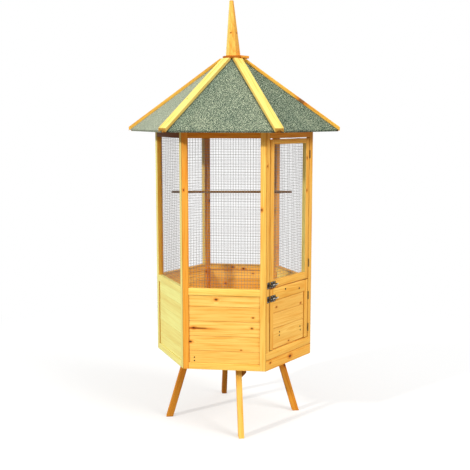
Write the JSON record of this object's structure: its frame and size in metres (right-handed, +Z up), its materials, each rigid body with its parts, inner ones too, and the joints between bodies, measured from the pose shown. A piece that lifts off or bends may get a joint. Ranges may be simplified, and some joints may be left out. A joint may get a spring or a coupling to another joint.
{
  "type": "garden aviary",
  "caption": "Hexagonal timber garden aviary on splayed legs, with wire mesh over boarded sides, a felted pyramid roof with a tapered spire, and an upper and a lower door.",
  "frame": {"origin": "on the ground, below the centre of the hexagon", "axes": "+Z up; the wall with the doors faces -Y; +X is to the right when one looks at the doors"},
  "size_m": [1.01, 0.8956, 2.008],
  "materials": {
    "pine_frame": "honey stained planed pine, satin",
    "pine_boards": "honey stained pine boards, satin",
    "pale_pine": "pale planed pine, satin",
    "perch_dowel": "plain beech dowel",
    "mineral_felt": "green mineral surfaced roofing felt, matt",
    "galvanised_wire": "galvanised, dull",
    "zinc_plate": "zinc plated, slightly worn"
  },
  "bodies": {
    "cage": {"floor": "pine_frame", "crossed_bearers": "pine_frame", "front_left_leg": "pine_frame", "front_right_leg": "pine_frame", "back_left_leg": "pine_frame", "back_right_leg": "pine_frame", "bottom_rails": "pine_frame", "front_base_board": "pine_frame", "door_sill_rail": "pine_frame", "mid_rails": "pine_frame", "header_rails": "pine_frame", "left_stiles": "pine_frame", "right_stiles": "pine_frame", "roof_panels": "pine_frame", "apex_block": "pine_frame", "cap_plate": "pine_frame", "spire": "pine_frame", "front_left_boards": "pine_boards", "back_left_boards": "pine_boards", "back_boards": "pine_boards", "back_right_boards": "pine_boards", "front_right_boards": "pine_boards", "front_left_mesh": "galvanised_wire", "back_left_mesh": "galvanised_wire", "back_mesh": "galvanised_wire", "back_right_mesh": "galvanised_wire", "front_right_mesh": "galvanised_wire", "frame_hinge_leaves": "zinc_plate", "bolt_keepers": "zinc_plate", "roof_felt": "mineral_felt", "hip_battens": "pale_pine", "perch": "perch_dowel"},
    "upper_door": {"upper_door_stiles": "pine_frame", "upper_door_rails": "pine_frame", "upper_door_mesh": "galvanised_wire", "upper_door_hinge_leaves": "zinc_plate", "upper_bolt_plate": "zinc_plate"},
    "lower_door": {"lower_door_stiles": "pine_frame", "lower_door_top_rail": "pine_frame", "lower_door_boards": "pine_boards", "lower_door_hinge_leaves": "zinc_plate", "lower_bolt_plate": "zinc_plate"},
    "upper_bolt": {"upper_bolt": "zinc_plate"},
    "lower_bolt": {"lower_bolt": "zinc_plate"}
  },
  "joints": [
    {"name": "upper_door_hinge", "type": "hinge", "parent": "cage", "child": "upper_door", "pos_m": [0.1605, -0.33209, 1.0375], "axis": [0, 0, 1], "range_deg": [0, 170]},
    {"name": "lower_door_hinge", "type": "hinge", "parent": "cage", "child": "lower_door", "pos_m": [0.1605, -0.33209, 0.5575], "axis": [0, 0, 1], "range_deg": [0, 170]},
    {"name": "upper_bolt_slide", "type": "slide", "parent": "upper_door", "child": "upper_bolt", "axis": [-1, 0, 0], "range_m": [0, 0.016]},
    {"name": "lower_bolt_slide", "type": "slide", "parent": "lower_door", "child": "lower_bolt", "axis": [-1, 0, 0], "range_m": [0, 0.016]}
  ]
}
